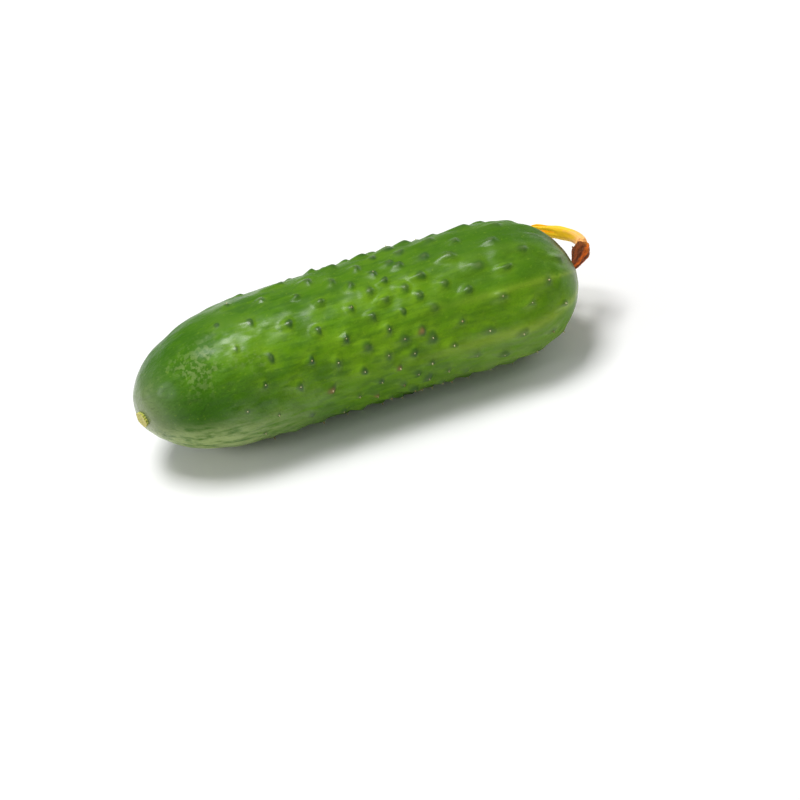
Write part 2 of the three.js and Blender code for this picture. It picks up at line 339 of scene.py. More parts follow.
# Lengths in millimetres; widths of a wart's parts in shares of its reach; ranges from least to greatest.
SKIN_GRID = (384, 254)  # along the fruit and round it
UNEVENNESS = ((0.17, 9, 3), (0.09, 4.5, 40))  # height, wavelength and first draw of each layer
STALK_DIMPLE = (0.35, 3.4)  # depth and radius
FLOWER_DIMPLE = (0.3, 2.8)
STALK_BLOOM = 8
# The band under the folded flower is browned skin and painted shadow.
SCAR_MIDDLE = (2.5, -4.5)  # to the folded side, and across it
SCAR_REACH = (5.5, 4.5)
SCAR_STRENGTH = 1.7
WART_SIZES = (0.7, 1.2)  # in middling warts
FIRST_WIDTH = 0.6
LAST_LOSS = 0.45  # of height
LAST_STRETCH = 1.9
RUSTY_SHARE = 0.08
RUSTY_SLOPE = 0.5  # upward slope of the skin from which no wart is corky
TOP_WIDTH = 0.45
TIP_WIDTH = 0.2
RUST_WIDTH = 0.27
HALO_WIDTH = 1.7
WINDOW_WIDTH = 3.2  # of the skin that a wart can touch
MOUND_SHARE = 0.7  # of a wart's height; its narrow top is the rest
SPINE_LENGTHS = (0.5, 0.8)
SPINE_RADII = (0.17, 0.25)
SPINES_RUBBED = (0.05, 0.97)  # shares lost on the lower and the upper side
SPINE_LEAN = 0.25
SPINE_SUNK = 0.15
SPINE_FLOOR = 1.2  # least height of a spine's foot


def girth(fruit, x):
    """Radius of the plain fruit at x: a straight middle between two half ellipsoids."""
    from_stem = (fruit.length / 2 + x) / fruit.stem_cap
    from_flower = (fruit.length / 2 - x) / fruit.flower_cap
    short = np.clip(np.maximum(1 - from_stem, 1 - from_flower), 0, 1)
    return fruit.radius * np.sqrt(1 - short**2)


def skin(fruit, x, angle):
    """Skin at x and an angle: the radius with cosines of ridges and swellings, on a parabolic bow."""
    x, angle = np.broadcast_arrays(np.asarray(x, dtype=float), angle)
    ripening = smooth(-fruit.length / 2, fruit.length / 2, x)
    ridge = fruit.ridge_height * ripening * np.cos(fruit.ridges * (angle - fruit.ridge_turn))
    reach = girth(fruit, x) * (1 + (ridge - fruit.carpel_swell * np.cos(3 * angle)) / fruit.radius)
    lift = fruit.radius + fruit.carpel_swell - fruit.flat
    sideways = reach * np.sin(angle) - fruit.bow * (2 * x / fruit.length)**2
    return np.stack([x, sideways, lift + reach * np.cos(angle)], axis=-1)


def place_on(fruit, x, angle):
    """Points of the skin with their directions along the fruit, around it and straight out of it."""
    step, turn = 0.05 * MM, 0.05
    along = unit(skin(fruit, x + step, angle) - skin(fruit, x - step, angle))
    around = unit(skin(fruit, x, angle + turn) - skin(fruit, x, angle - turn))
    return SimpleNamespace(
        foot=skin(fruit, x, angle), along=along, around=around, out=unit(np.cross(along, around)))


def seat(fruit, cap, end, off, angle):
    """The place this far off the middle of an end, +1 at the flower and -1 at the stalk."""
    inset = cap * (1 - math.sqrt(1 - (off / fruit.radius)**2))
    return place_on(fruit, end * (fruit.length / 2 - inset), angle)


def stub_seat(fruit):
    """Where the stalk's stump sits."""
    return seat(fruit, fruit.stem_cap, -1, fruit.stub_off, fruit.stub_turn)


def flower_seat(fruit, flower):
    """Where the flower sits."""
    return seat(fruit, fruit.flower_cap, 1, flower.offset, flower.turn)


def wart_rule(fruit):
    """Places and sizes of the warts.

    They stand on a golden-angle spiral, crowded towards the middle by a sine, with fixed draws for their
    shifts and sizes. Towards the flower they get longer and lower.
    """
    number = np.arange(fruit.warts)
    share = (number + 0.5) / fruit.warts
    crowded = share + fruit.wart_crowding * np.sin(FULL_TURN * share) / FULL_TURN
    place = mix(fruit.wart_from, fruit.wart_to, crowded)
    draw = [chance(4 * number + n) for n in (1, 2, 3, 4)]
    x = (place - 0.5) * fruit.length + fruit.wart_stray * (draw[0] - 0.5)
    angle = number * GOLDEN_ANGLE + fruit.wart_stray * (draw[1] - 0.5) / fruit.radius
    fade = smooth(fruit.wart_fade, fruit.wart_to, place)
    growth = smooth(fruit.wart_from / 2, fruit.wart_full, place) * (1 - LAST_LOSS * fade)
    spot = place_on(fruit, x, angle)
    spot.x = x
    spot.number = number
    spot.radius = fruit.wart_radius * mix(*WART_SIZES, draw[2]) * mix(FIRST_WIDTH, 1, growth)
    spot.height = fruit.wart_height * mix(*WART_SIZES, draw[3]) * growth
    spot.stretch = mix(1, LAST_STRETCH, smooth(fruit.wart_full, fruit.wart_to, place))
    spot.rusty = (chance(number + 700) > 1 - RUSTY_SHARE) & (spot.out[:, 2] < RUSTY_SLOPE)
    return spot


def stations(fruit, count):
    """x of evenly spaced stations along the outline: a quarter ellipse, a straight and another quarter."""
    turn = np.linspace(0, math.pi / 2, 500)
    stem = fruit.stem_cap * (1 - np.cos(turn)) - fruit.length / 2
    flower = fruit.length / 2 - fruit.flower_cap * (1 - np.cos(turn[::-1]))
    x = np.concatenate([stem, flower])
    run = np.concatenate([[0], np.cumsum(np.hypot(np.diff(x), np.diff(girth(fruit, x))))])
    return np.interp(np.linspace(0, run[-1], count + 2)[1:-1], run, x)


def wart_relief(fruit, x, points):
    """Height of the warts over the skin, and their marks.

    A wart is a mound (1 - d^2)^2 with a narrow bell on top, where d is the distance from its top over its
    reach. The reach is longer towards the stalk, and uneven by two cosines. The dark mark is a power of the
    mound, fainter towards the stalk: darker wart tops, and painted shade on the flower side. The other marks
    are bells; the wide halo is partly painted highlight on the stalk side.
    """
    warts = wart_rule(fruit)
    height = np.zeros(points.shape[:2])
    marks = {mark: np.zeros_like(height) for mark in ("wart", "tip", "rust", "halo")}
    for k in range(fruit.warts):
        window = WINDOW_WIDTH * warts.radius[k] * warts.stretch[k]
        rows = slice(*np.searchsorted(x, [warts.x[k] - window, warts.x[k] + window]))
        offset = points[rows] - warts.foot[k]
        along = offset @ warts.along[k] / (warts.radius[k] * warts.stretch[k]) - fruit.wart_lean
        along = along / (1 - np.sign(along) * fruit.wart_lean)
        around = offset @ warts.around[k] / warts.radius[k]
        direction = np.arctan2(around, along)
        lean = FULL_TURN * chance(k + 800)
        uneven = 1.1 + 0.12 * np.cos(2 * direction + lean) + 0.08 * np.cos(3 * direction + 2 * lean)
        other_side = offset @ warts.out[k] < -warts.radius[k]
        far = np.hypot(along, around) / uneven + 9 * other_side
        body = np.clip(1 - far**2, 0, 1)**2
        height[rows] += warts.height[k] * mix(bell(far, TOP_WIDTH), body, MOUND_SHARE)
        found = {
            # Darker wart top, and painted shade on the flower side of the wart.
            "wart": body**0.7 * mix(0.25, 1, smooth(-0.8, 0.1, along)) * mix(0.7, 1, chance(k + 820)),
            "tip": bell(far, TIP_WIDTH),
            "rust": bell(far, RUST_WIDTH) * warts.rusty[k],
            "halo": bell(far, HALO_WIDTH),
        }
        for mark, values in found.items():
            marks[mark][rows] = np.maximum(marks[mark][rows], values)
    return height, marks


def stripe_marks(fruit, along, angle):
    """Pale stripes on the ridges: a power of a cosine, with breadth and strength drawn for each ridge."""
    wander = angle - fruit.ridge_turn + 0.04 * np.sin(FULL_TURN * 1.3 * along + 1) * (1 - along)
    ridge = np.round(wander * fruit.ridges / FULL_TURN) % fruit.ridges
    fade = smooth(mix(0.35, 0.6, chance(ridge + 900)), 0.85, along)
    crest = (1 + np.cos(fruit.ridges * wander)) / 2
    return crest**mix(3, 14, chance(ridge + 1047)) * fade * mix(0.2, 1, chance(ridge + 1180))


def scar_and_shadow_marks(fruit, flower, points, along, from_flower):
    """Browned skin and painted shadow: a bell in two directions where the folded flower rubs and casts its
    shadow, and one round its foot.
    """
    line = flower_line(fruit, flower)
    folded = (points - line.foot) @ line.away - SCAR_MIDDLE[0] * MM
    across = (points - line.foot) @ line.side - SCAR_MIDDLE[1] * MM
    # The rubbed band is also painted shadow of the folded flower.
    rubbed = bell(folded, SCAR_REACH[0] * MM) * bell(across, SCAR_REACH[1] * MM) * (along > 0.5)
    return np.minimum(SCAR_STRENGTH * rubbed + bell(from_flower, FLOWER_DIMPLE[1] * MM), 1)


def fruit_mesh(fruit, flower):
    """The skin on a grid of stations and angles.

    It is the plain fruit, moved along its normals by unevenness, the warts and a bell-shaped dimple at
    each seat, and pressed flat where it would go below the floor. Its marks steer the finish.
    """
    x = stations(fruit, SKIN_GRID[0])
    angle = turns(SKIN_GRID[1])
    points = skin(fruit, x[:, None], angle[None, :])
    lengthwise = np.gradient(points, axis=0)
    roundwise = np.roll(points, -1, axis=1) - np.roll(points, 1, axis=1)
    normals = unit(np.cross(lengthwise, roundwise))
    relief, marks = wart_relief(fruit, x, points)
    for height, wavelength, first in UNEVENNESS:
        relief += height * MM * ripple(points, wavelength * MM, first)
    from_stalk = np.linalg.norm(points - stub_seat(fruit).foot, axis=-1)
    from_flower = np.linalg.norm(points - flower_seat(fruit, flower).foot, axis=-1)
    relief -= STALK_DIMPLE[0] * MM * bell(from_stalk, STALK_DIMPLE[1] * MM)
    relief -= FLOWER_DIMPLE[0] * MM * bell(from_flower, FLOWER_DIMPLE[1] * MM)
    points = points + normals * relief[..., None]
    points[..., 2] = np.maximum(points[..., 2], 0)

    facing_x, facing_y, facing_z = np.moveaxis(normals, -1, 0)
    along = np.broadcast_to(x[:, None] / fruit.length + 0.5, relief.shape)
    under = smooth(0.2, -0.4, facing_z) * smooth(0.35, -0.35, facing_y)
    marks.update(
        along=along, stripe=stripe_marks(fruit, along, angle[None, :]),
        # belly: painted reflection of the floor on the lower front, mostly towards the stalk end.
        belly=under * (smooth(0.45, 0.12, along) + 0.2 * smooth(0.55, 0.8, along)),
        bloom=bell(from_stalk, STALK_BLOOM * MM) + 0.7 * smooth(0.65, 0.98, facing_x),
        # Browned skin and painted shadow under the folded flower, and browned skin round its foot.
        flower_scar=scar_and_shadow_marks(fruit, flower, points, along, from_flower),
        # lower and far are masks of painted shade on the lower and the far side; upper also places painted
        # shade.
        upper=smooth(0.3, 0.95, facing_z), lower=smooth(0.1, -0.6, facing_z),
        far=smooth(-0.55, 0.05, facing_y))
    return sealed_mesh("fruit_skin", points, marks)


def spine_mesh(fruit):
    """A short blunt horn on each wart that has kept its spine, leaning a little.

    The share that is rubbed off grows with the upward slope of the skin.
    """
    warts = wart_rule(fruit)
    rubbed = mix(*SPINES_RUBBED, smooth(0.25, 0.85, warts.out[:, 2]))
    shift = warts.along * (fruit.wart_lean * warts.radius * warts.stretch)[:, None]
    feet = warts.foot + shift + warts.out * (0.9 * warts.height - SPINE_SUNK * MM)[:, None]
    kept = (chance(warts.number + 500) > rubbed) & (feet[:, 2] > SPINE_FLOOR * MM)
    number = warts.number[kept]
    draw = chance(number + 600)
    lean = SPINE_LEAN * np.stack([chance(number + n) - 0.5 for n in (610, 620, 630)], axis=-1)
    return spike_mesh(
        "spines", feet[kept], unit(warts.out[kept] + lean), mix(*SPINE_LENGTHS, draw) * MM,
        mix(*SPINE_RADII, draw) * MM, sides=6, rows=4, marks={"age": draw})


def stub_mesh(fruit):
    """The stalk's stump: a smooth profile turned about its axis, with ribs and fine fibres as cosines."""
    place = stub_seat(fruit)
    side = through([[0.9, -0.9], [0.9, -0.2], [0.86, 0.4], [0.97, 0.82], [0.94, 0.98]], 26)
    face = through([[0.94, 0.98], [0.8, 0.97], [0.55, 0.74], [0.3, 0.66], [0.06, 0.7]], 18)
    profile = np.vstack([side, face[1:]])
    wide, high = profile[:, :1], profile[:, 1:]
    turn = turns(96)[None, :]
    ribs = 0.95 + 0.05 * np.cos(5 * turn) + 0.018 * np.cos(17 * turn + 1) + 0.01 * np.cos(31 * turn)
    ribbed = wide * fruit.stub_radius * ribs
    raised = high * fruit.stub_length + 0.05 * MM * np.cos(23 * turn + 40 * wide) * wide
    points = (place.foot + raised[..., None] * place.out
              + (ribbed * np.cos(turn))[..., None] * place.along
              + (ribbed * np.sin(turn))[..., None] * place.around)
    torn = np.concatenate([np.zeros(len(side) - 3), np.linspace(0, 1, 3), np.ones(len(face) - 1)])[:, None]
    fibre = 0.5 + 0.3 * np.cos(17 * turn + 1) + 0.2 * np.cos(31 * turn)
    return sealed_mesh("stem_stub_skin", points, {"torn": torn, "fibre": fibre})


# Shapes: the flower

# The flower's middle line in millimetres: how far out past the fruit, and how far to the folded side.
FLOWER_LINE = np.array([
    (-0.9, 0), (0.6, 0), (2.7, 1.8), (4.6, 4), (5.2, 6),
    (4.3, 8.4), (2.1, 10.9), (-0.4, 13), (-3, 14.5), (-6.5, 15.4),
])
# Profiles of the dried base and its lid: radius in foot radii, and place as a share of the base's length.
BASE_PROFILE = np.array([
    (0.8, 0), (0.85, 0.2), (1.1, 0.43), (1.5, 0.62), (1.7, 0.78), (1.62, 0.92), (1.42, 1.04)])
LID_PROFILE = np.array([(1.42, 1.04), (1.2, 1.05), (0.1, 1.05)])
# Roots and tips that give the sepals their direction: share of the middle line, and millimetres off it.
SEPAL_ROOT = (0.25, 2)
SEPAL_TIP = (0.35, 2.5)
SEPAL_SUNK = 0.4
SEPAL_RADIUS = 0.36
# Hairs: where they grow, as shares of the middle line, and how thick the base is there, in foot radii.
HAIR_STRETCH = (0.07, 0.26)
HAIR_SHARES = (0.06, 0.12, 0.18, 0.23, 0.28)
HAIR_FEET = (0.85, 1.1, 1.5, 1.72, 1.6)
HAIR_LENGTHS = (0.35, 0.7)
HAIR_RADIUS = 0.03


def flower_line(fruit, flower):
    """The flower's middle line in the plane that it is folded in, with the directions that go with it."""
    place = flower_seat(fruit, flower)
    folded = np.array([0, math.sin(flower.fold), math.cos(flower.fold)])
    side = unit(np.cross(folded, place.out))
    flat = through(FLOWER_LINE * MM, 800)
    return SimpleNamespace(
        foot=place.foot, out=place.out, away=np.cross(place.out, side), side=side,
        flat=flat, slope=unit(np.gradient(flat, axis=0)), share=np.linspace(0, 1, len(flat)),
        length=np.linalg.norm(np.diff(flat, axis=0), axis=1).sum())


def beside_line(line, share, across, off):
    """Points beside the middle line: at a share of it, moved across and in the plane of its bend."""
    out, away = (np.interp(share, line.share, line.flat[:, axis]) for axis in (0, 1))
    slope_out, slope_away = (np.interp(share, line.share, line.slope[:, axis]) for axis in (0, 1))
    out = (out - slope_away * off)[..., None]
    away = (away + slope_out * off)[..., None]
    return line.foot + out * line.out + away * line.away + across[..., None] * line.side


def round_line(line, share, radius, turn):
    """Points on circles round the middle line."""
    return beside_line(line, share, radius * np.sin(turn), radius * np.cos(turn))


def base_mesh(fruit, flower):
    """The dried base: a profile carried along the middle line, with five ribs and creases as cosines."""
    line = flower_line(fruit, flower)
    scale = [1, flower.base_end * line.length / flower.foot_radius]
    tube = through(BASE_PROFILE * scale, 60)
    lid = through(LID_PROFILE * scale, 12)
    profile = np.vstack([tube, lid[1:]]) / scale
    turn = turns(100)[None, :]
    along = np.broadcast_to(profile[:, 1:], (len(profile), turn.size))
    share = along * flower.base_end
    crease = (0.08 * np.cos(flower.sepals * turn) + 0.03 * np.cos(9 * turn + 60 * share)
              + 0.02 * np.cos(14 * turn - 45 * share + 2) + 0.01 * np.sin(120 * share + 3 * turn))
    radius = profile[:, :1] * flower.foot_radius * (1 + crease * smooth(0.02, 0.1, share))
    # inside: painted shade on the inner side of the curl, turned a little towards the top.
    marks = {"crease": 0.5 + 2.4 * crease, "along": along, "inside": 0.5 + 0.5 * np.cos(turn + 0.9)}
    return sealed_mesh("flower_base_skin", round_line(line, share, radius, turn), marks)


def sepal_mesh(fruit, flower):
    """Thin dry sepals: horns spread evenly round the rim of the base, leaning out along the corolla."""
    line = flower_line(fruit, flower)
    number = np.arange(flower.sepals)
    turn = turns(flower.sepals)
    root, tip = (round_line(line, share, off * MM, turn) for share, off in (SEPAL_ROOT, SEPAL_TIP))
    heading = unit(tip - root)
    draw = chance(number + 40)
    return spike_mesh(
        "sepals", root - heading * SEPAL_SUNK * MM, heading, flower.sepal_length * mix(0.8, 1.15, draw),
        np.full(flower.sepals, SEPAL_RADIUS * MM), sides=10, rows=14, marks={"age": draw * 0.3})


def hair_mesh(fruit, flower):
    """Fine stiff hairs: thin horns on a golden-angle spiral up the base, pointing a little forwards."""
    line = flower_line(fruit, flower)
    number = np.arange(flower.hairs)
    turn = number * GOLDEN_ANGLE
    share = mix(*HAIR_STRETCH, (number + 0.5) / flower.hairs)
    radius = np.interp(share, HAIR_SHARES, HAIR_FEET) * flower.foot_radius
    root = round_line(line, share, 0.93 * radius, turn)
    tip = round_line(line, share + 0.008, 1.4 * radius, turn)
    lengths = mix(*HAIR_LENGTHS, chance(number + 60)) * MM
    return spike_mesh(
        "flower_hairs", root, unit(tip - root), lengths, np.full(flower.hairs, HAIR_RADIUS * MM),
        sides=4, rows=3, marks={"age": chance(number + 70)})


def petal_middle(line, flower, turn, reach):
    """Middle of the petal tissue at a turn round the corolla and a reach from foot (0) to edge (1).

    The reach is cut short between the lobes by a power of a cosine. The section is an ellipse that opens
    towards the mouth, fluted by a cosine, and waves that grow towards the edges crumple the lobes.
    """
    lobe = ((1 + np.cos(flower.petals * turn)) / 2)**0.8
    uneven = 1 - 0.06 * (1 + np.cos(2 * turn + 1))
    share = reach * mix(flower.throat, 1, lobe) * uneven
    opened = smooth(0, 0.6, share)
    waves = 0.10 * np.sin(7 * turn + 14 * share) + 0.09 * np.sin(3 * turn - 21 * share)
    fold = 1 + 0.10 * np.cos(flower.petals * turn) * opened + waves * smooth(0.15, 0.9, share)
    across = mix(flower.foot_width, flower.mouth_width, opened) * fold * np.sin(turn)
    off = mix(flower.foot_depth, flower.mouth_depth, opened) * fold * np.cos(turn)
    return beside_line(line, mix(flower.petal_start, 1, share), across, off)


def corolla_mesh(fruit, flower):
    """The withered corolla: petal tissue on a grid of reaches and turns, thickened along its normals.

    The rows run up the outside from the foot, round the edge in a half circle and down the inside.
    """
    line = flower_line(fruit, flower)
    up, edge, down = 90, 5, 80
    half = flower.petal_thickness / 2
    bend = np.linspace(0, math.pi, edge + 2)[1:-1]
    reach = np.concatenate([[0], np.linspace(0, 1, up), np.ones(edge), np.linspace(1, 0.1, down)])[:, None]
    off = np.concatenate([[-half], np.full(up, half), half * np.cos(bend), np.full(down, -half)])
    beyond = np.concatenate([np.zeros(up + 1), half * np.sin(bend), np.zeros(down)])
    turn = turns(240)[None, :]
    step = 0.004
    middle = petal_middle(line, flower, turn, reach)
    before, after = (petal_middle(line, flower, turn + by, reach) for by in (-step, step))
    around = after - before
    further = np.minimum(reach + step, 1)
    along = petal_middle(line, flower, turn, further) - petal_middle(line, flower, turn, further - step)
    normal = unit(np.cross(around, along))
    points = middle + normal * off[:, None, None] + unit(along) * beyond[:, None, None]
    lobe = np.cos(flower.petals * turn)
    vein = np.exp(-(1 - lobe) / 0.03) + 0.7 * np.exp(-(1 - np.cos(3 * flower.petals * turn)) / 0.05)
    marks = {"vein": np.minimum(vein, 1), "reach": reach, "hollow": (1 - lobe) / 2}
    return sealed_mesh("corolla_petals", points, marks)


# Finishes

class Value:
    """A node's output that can stand in sums: each operator adds a Math node to its finish."""

    def __init__(self, finish, socket):
        self.finish = finish
        self.socket = socket

    def math(self, operation, *terms):
        """The result of a Math node on these terms."""
        return self.finish.node("ShaderNodeMath", {"operation": operation}, dict(enumerate(terms)))

    def __add__(self, other):
        return self.math("ADD", self, other)

    def __radd__(self, other):
        return self.math("ADD", other, self)

    def __sub__(self, other):
        return self.math("SUBTRACT", self, other)

    def __rsub__(self, other):
        return self.math("SUBTRACT", other, self)

    def __mul__(self, other):
        return self.math("MULTIPLY", self, other)

    def __rmul__(self, other):
        return self.math("MULTIPLY", other, self)


class Finish:
    """A material being made: a Principled shader, and one method that adds any other node."""

    def __init__(self, name, constants):
        self.material = bpy.data.materials.new(name)
        self.material.use_nodes = True
        self.tree = self.material.node_tree
        self.shader = self.tree.nodes["Principled BSDF"]
        for socket, value in constants.items():
            self.shader.inputs[socket].default_value = value

    def node(self, kind, settings, sockets, output=0):
        """Adds a node of this type with its settings and its sockets' values or links; gives an output."""
        made = self.tree.nodes.new(kind)
        for setting, value in settings.items():
            setattr(made, setting, value)
        for socket, value in sockets.items():
            self.join(made.inputs[socket], value)
        return Value(self, made.outputs[output])

    def join(self, socket, value):
        """Links a value to a socket, or sets the socket to a constant."""
        if isinstance(value, Value):
            self.tree.links.new(value.socket, socket)
        else:
            socket.default_value = value

    def feed(self, **values):
        """Feeds the shader's sockets, named in lower case with underscores."""
        for name, value in values.items():
            self.join(self.shader.inputs[name.replace("_", " ").title()], value)

    def mark(self, name):
        """A mark that the piece's points carry."""
        return self.node("ShaderNodeAttribute", {"attribute_name": name}, {}, "Fac")

    def place(self, scale=(1, 1, 1)):
        """The place on the piece, in metres, stretched by a scale for each axis."""
        coordinates = self.node("ShaderNodeTexCoord", {}, {}, "Object")
        return self.node("ShaderNodeMapping", {}, {"Vector": coordinates, "Scale": scale})

    def noise(self, place, grain, detail=3.0, roughness=0.55):
        """Noise from 0 to 1 whose grain is this size in metres."""
        return self.node("ShaderNodeTexNoise", {}, {
            "Vector": place, "Scale": 1 / grain, "Detail": detail, "Roughness": roughness})

    def between(self, value, low, high):
        """0 where the value is at low, 1 where it is at high, and smooth between them."""
        return self.node("ShaderNodeMapRange", {"interpolation_type": "SMOOTHSTEP"}, {
            "Value": value, "From Min": low, "From Max": high})

    def paint(self, colour, *layers):
        """A colour with each layer, another colour and its share, mixed over it in turn."""
        for layer, share in layers:
            colour = self.node("ShaderNodeMix", {"data_type": "RGBA"}, {0: share, 6: colour, 7: layer}, 2)
        return colour

    def bump(self, height, distance, strength):
        """A normal that is tilted by a height from 0 to 1 over this distance in metres."""
        return self.node("ShaderNodeBump", {}, {
            "Height": height, "Distance": distance, "Strength": strength})


def skin_finish(fruit):
    """Waxy green skin: mottled, deep green at the stalk and striped at the flower, with dark glossy warts.

    The belly is pale with a painted reflection of the floor, and the upper side near the stalk has painted
    highlight flecks. Both ends have a pale glossy bloom. The skin under the flower is browned and carries a
    painted shadow of the folded flower. Painted shade darkens the far side, the lower side, the top towards
    the flower and each wart on its flower side, and the lighter skin round the warts is partly painted
    highlight.
    """
    finish = Finish("waxy_green_skin", {"Specular IOR Level": 0.05, "Coat Roughness": 0.27})
    mark, noise, between = finish.mark, finish.noise, finish.between
    place = finish.place()
    clouds = noise(place, 9 * MM, 3)
    mottle = noise(finish.place((0.6, 1, 1)), 2.2 * MM, 4, 0.6)
    streaks = noise(finish.place((0.12, 1, 1)), 1.3 * MM, 3)
    grains = noise(place, 0.9 * MM, 2)
    pores = noise(place, 0.5 * MM, 3, 0.6)
    specks = between(noise(place, 1.2 * MM, 3), 0.46, 0.6)
    wax = between(noise(finish.place((0.4, 1, 1)), 2.2 * MM, 3, 0.6), 0.36, 0.6)

    along, upper, far = mark("along"), mark("upper"), mark("far")
    wart, halo, rust, scar = mark("wart"), mark("halo"), mark("rust"), mark("flower_scar")
    toward_stem = 1 - between(along + (clouds - 0.5) * 0.3 + upper * 0.15, 0.1, 0.42)
    aging = between(along, 0.5, 0.85)
    deep = between(clouds * 0.45 + mottle * 0.3 + streaks * 0.25, 0.44, 0.58)
    stripe = mark("stripe") * between(streaks, 0.2, 0.55) * (1 - upper * 0.7)
    # Where painted highlight flecks go: the lit upper side near the stalk end, below the gloss highlight.
    painted_glints = between(clouds, 0.4, 0.6) * upper * (1 - far) * (1 - between(along, 0.22, 0.36))
    colour = finish.paint(
        fruit.green,
        # Lighter skin round each wart, partly painted highlight on its lit stalk side.
        (fruit.light_green_and_highlight, halo * between(mottle, 0.2, 0.55) * 0.9),
        (fruit.deep_green_and_shade, deep * (0.75 - along * 0.4)),
        (fruit.deep_green_and_shade, toward_stem * 0.85),
        # Painted shade: darker on the far side, on the lower side and on the top towards the flower.
        (fruit.deep_green_and_shade, far * 0.55),
        (fruit.deep_green_and_shade, mark("lower") * 0.35),
        (fruit.deep_green_and_shade, upper * between(along, 0.55, 0.8) * 0.35),
        (fruit.stripe, stripe * 0.85),
        (fruit.stripe, between(grains, 0.62, 0.74) * 0.2),
        # Painted highlight: pale flecks near the stalk end.
        (fruit.belly, specks * painted_glints * 0.35),
        # Painted reflection of the floor on the lower front of the belly.
        (fruit.belly, mark("belly") * between(mottle * 0.4 + streaks * 0.6, 0.32, 0.6)),
        # Darker wart tops, with painted shade on their flower sides.
        (fruit.wart_green_and_shade, between(wart, 0.25, 0.85) * (0.85 - aging * 0.3)),
        (fruit.rust, rust * 0.8),
        (fruit.spine, mark("tip") * 0.1),
        (fruit.bloom, mark("bloom") * 0.6),
        # Browned skin and painted shadow under the folded flower.
        (fruit.scar, scar * (0.35 + between(grains + mottle, 0.75, 1.15) * 0.6)))

    shoulder = between(along, 0.13, 0.22) * (1 - between(along, 0.3, 0.5))
    ends = 1 - between(along, 0, 0.12) + between(along, 0.93, 1)
    patches = wax * (shoulder * 0.38 + halo * (0.2 + aging * 0.2))
    relief = mottle * (0.4 + toward_stem * 1.1) + pores * 0.15 + streaks * 0.25
    finish.feed(
        base_color=colour, roughness=0.26 + mottle * 0.14 + along * 0.24 + rust * 0.3,
        coat_weight=0.04 + wart * 0.22 + patches + ends * (1 - scar) * 0.75,
        normal=finish.bump(relief, 0.5 * MM, 1.0))
    return finish


def spine_finish(fruit):
    """Pale horny spines, some of them tan."""
    finish = Finish("pale_spine", {"Roughness": 0.45})
    speckle = finish.noise(finish.place(), 0.3 * MM, 2)
    tan = finish.between(finish.mark("age") + (speckle - 0.5) * 0.3, 0.6, 0.95)
    finish.feed(base_color=finish.paint(fruit.spine, (fruit.rust, tan * 0.7)))
    return finish


def stub_finish(fruit):
    """Fibrous stalk: yellow-green sides with lighter fibres, and a paler torn face."""
    finish = Finish("fibrous_stalk", {"Specular IOR Level": 0.3})
    grain = finish.noise(finish.place(), 0.5 * MM, 3)
    fibre = finish.mark("fibre")
    face = finish.paint(fruit.stub_pith, (fruit.rust, finish.between(grain, 0.45, 0.75) * 0.5))
    colour = finish.paint(
        fruit.stub_green,
        (fruit.green, finish.between(fibre + grain * 0.5, 0.9, 0.4) * 0.6),
        (face, finish.mark("torn")))
    finish.feed(
        base_color=colour, roughness=0.55 + grain * 0.3,
        normal=finish.bump(grain * 0.6 + fibre * 0.4, 0.2 * MM, 0.8))
    return finish


def base_finish(flower):
    """Dried brown tissue: dark in its creases, rusty on its crests and orange towards the petals, with
    painted shade on the inner side of its curl.
    """
    finish = Finish("dried_brown_base", {"Specular IOR Level": 0.25})
    grain = finish.noise(finish.place(), 0.55 * MM, 4, 0.65)
    patch = finish.noise(finish.place(), 1.8 * MM, 2)
    colour = finish.paint(
        flower.dark_brown,
        (flower.brown, finish.between(finish.mark("crease") + (grain - 0.5) * 0.8, 0.25, 0.85)),
        (flower.orange, finish.between(finish.mark("along") + (patch - 0.5) * 0.9, 0.6, 1.15) * 0.5),
        # Painted shade on the inner side of the curl.
        (flower.dark_brown, finish.between(finish.mark("inside"), 0.5, 0.95) * 0.8))
    finish.feed(base_color=colour, roughness=0.6 + grain * 0.3, normal=finish.bump(grain, 0.15 * MM, 0.7))
    return finish


def dry_finish(flower):
    """Dry tan tissue of sepals and hairs."""
    finish = Finish("dry_tan_tissue", {"Specular IOR Level": 0.25})
    grain = finish.noise(finish.place(), 0.5 * MM, 3)
    bleached = finish.between(finish.mark("age") * 0.6 + grain * 0.5, 0.3, 1)
    colour = finish.paint(flower.dark_brown, (flower.pale, bleached * 0.6))
    finish.feed(base_color=colour, roughness=0.6 + grain * 0.25)
    return finish


def petal_finish(flower):
    """Limp yellow petals: bleached at the foot, with orange veins and hollows, browned at foot and edge.

    A faint glow in the petals' own colour stands for the light that comes through the thin tissue.
    """
    finish = Finish("limp_yellow_petal", {
        "Specular IOR Level": 0.35, "Sheen Weight": 0.15, "Emission Strength": 0.4})
    reach = finish.mark("reach")
    patch = finish.noise(finish.place(), 2.4 * MM, 3)
    grain = finish.noise(finish.place(), 0.5 * MM, 3)
    vein = finish.mark("vein")
    colour = finish.paint(
        flower.pale,
        (flower.yellow, finish.between(reach + (patch - 0.5) * 0.6, 0.2, 0.5)),
        (flower.orange, finish.mark("hollow") * finish.between(grain, 0.3, 0.7) * 0.2),
        (flower.orange, vein * 0.18),
        (flower.brown, finish.between(reach + (patch - 0.5) * 0.25, 0.92, 1.05) * 0.2),
        (flower.brown, 1 - finish.between(reach + (patch - 0.5) * 0.2, -0.02, 0.14)))
    finish.feed(
        base_color=colour, emission_color=colour, roughness=0.5 + grain * 0.25,
        normal=finish.bump(grain * 0.5 + vein * 0.5, 0.15 * MM, 0.7))
    return finish


# Operators

